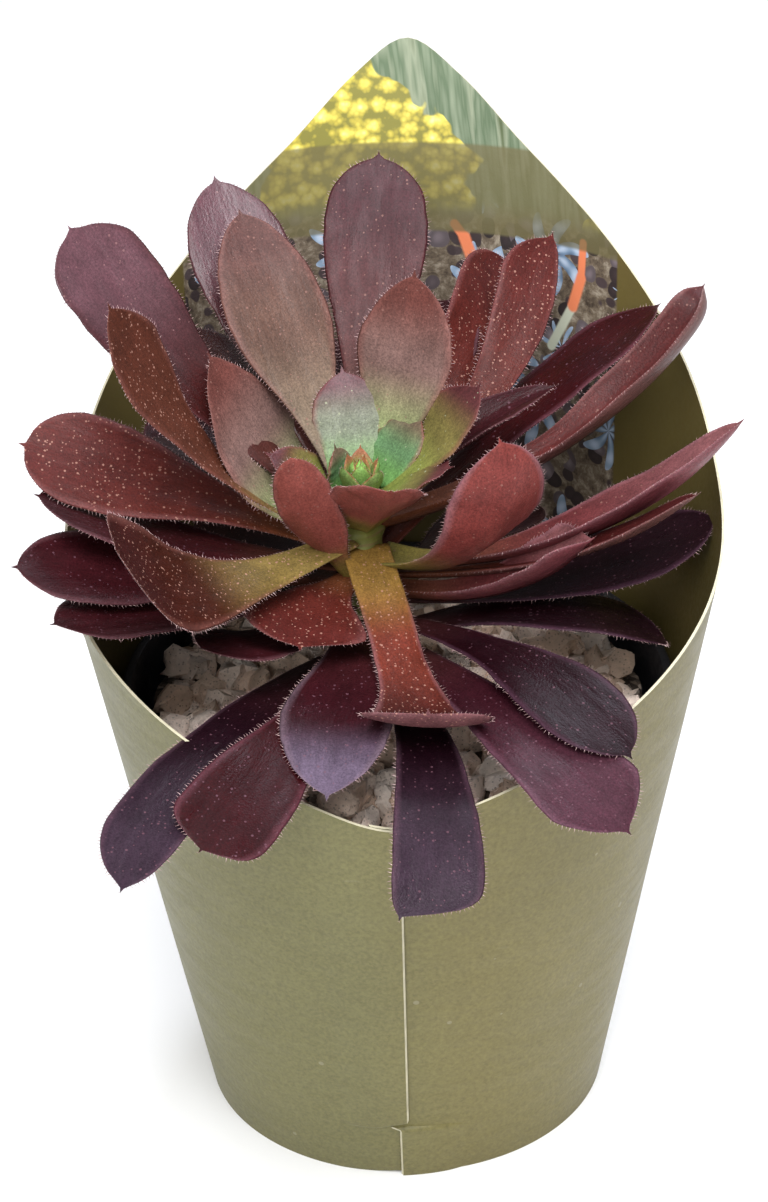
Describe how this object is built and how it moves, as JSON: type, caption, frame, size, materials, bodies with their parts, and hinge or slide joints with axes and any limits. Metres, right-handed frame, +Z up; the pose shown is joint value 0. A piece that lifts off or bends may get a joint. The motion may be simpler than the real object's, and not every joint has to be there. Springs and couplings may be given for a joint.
{
  "type": "potted aeonium",
  "caption": "Dark purple succulent rosette with a green heart, rooted in a gravel-topped nursery pot that stands in a rolled plastic sheet sleeve with a tall pointed back.",
  "frame": {"origin": "Centre of the nursery pot's flat base, on the surface that the pot and the sleeve stand on.", "axes": "+Z up the pot's axis, -Y towards the low front of the sleeve, +X to the right seen from the front."},
  "size_m": [0.1342, 0.1558, 0.1956],
  "materials": {
    "leaf": "waxy, finely speckled, pale hairy margins",
    "crown_bud": "waxy bright green",
    "stem": "smooth green bark with leaf scars",
    "potting_mix": "crumbly peat",
    "pumice": "matte porous",
    "pot_plastic": "thin satin black",
    "sleeve_sheet": "satin olive sheet with a printed inner face"
  },
  "bodies": {
    "root": {"crown_bud": "crown_bud", "gravel_layer": "pumice", "leaf_back_inner": "leaf", "leaf_back_left_gap": "leaf", "leaf_back_left_high": "leaf", "leaf_back_left_inner": "leaf", "leaf_back_right_dark": "leaf", "leaf_back_right_high": "leaf", "leaf_back_tall": "leaf", "leaf_crown_back": "leaf", "leaf_crown_front": "leaf", "leaf_crown_front_left": "leaf", "leaf_crown_left": "leaf", "leaf_crown_mint": "leaf", "leaf_crown_right": "leaf", "leaf_crown_right_small": "leaf", "leaf_crown_small": "leaf", "leaf_front_facing": "leaf", "leaf_front_hanging": "leaf", "leaf_front_left_long": "leaf", "leaf_front_left_red": "leaf", "leaf_front_left_short": "leaf", "leaf_front_left_toothed": "leaf", "leaf_front_right_lower": "leaf", "leaf_front_right_upper": "leaf", "leaf_front_right_upturned": "leaf", "leaf_left_gap": "leaf", "leaf_left_golden": "leaf", "leaf_left_high_broad": "leaf", "leaf_left_high_brown": "leaf", "leaf_left_inner": "leaf", "leaf_left_low_back": "leaf", "leaf_left_low_front": "leaf", "leaf_left_low_middle": "leaf", "leaf_left_spotted": "leaf", "leaf_left_under_dark": "leaf", "leaf_low_back": "leaf", "leaf_low_back_left": "leaf", "leaf_low_back_right": "leaf", "leaf_low_left": "leaf", "leaf_middle_back_left": "leaf", "leaf_middle_back_right": "leaf", "leaf_middle_left_back": "leaf", "leaf_right_broad_dark": "leaf", "leaf_right_high": "leaf", "leaf_right_high_folded": "leaf", "leaf_right_long": "leaf", "leaf_right_low_arched": "leaf", "leaf_right_middle": "leaf", "leaf_right_short_pink": "leaf", "leaf_right_spike": "leaf", "nursery_pot": "pot_plastic", "pumice_back": "pumice", "pumice_front": "pumice", "pumice_front_left": "pumice", "pumice_left": "pumice", "pumice_right": "pumice", "sleeve": "sleeve_sheet", "soil": "potting_mix", "stem": "stem"}
  },
  "joints": []
}
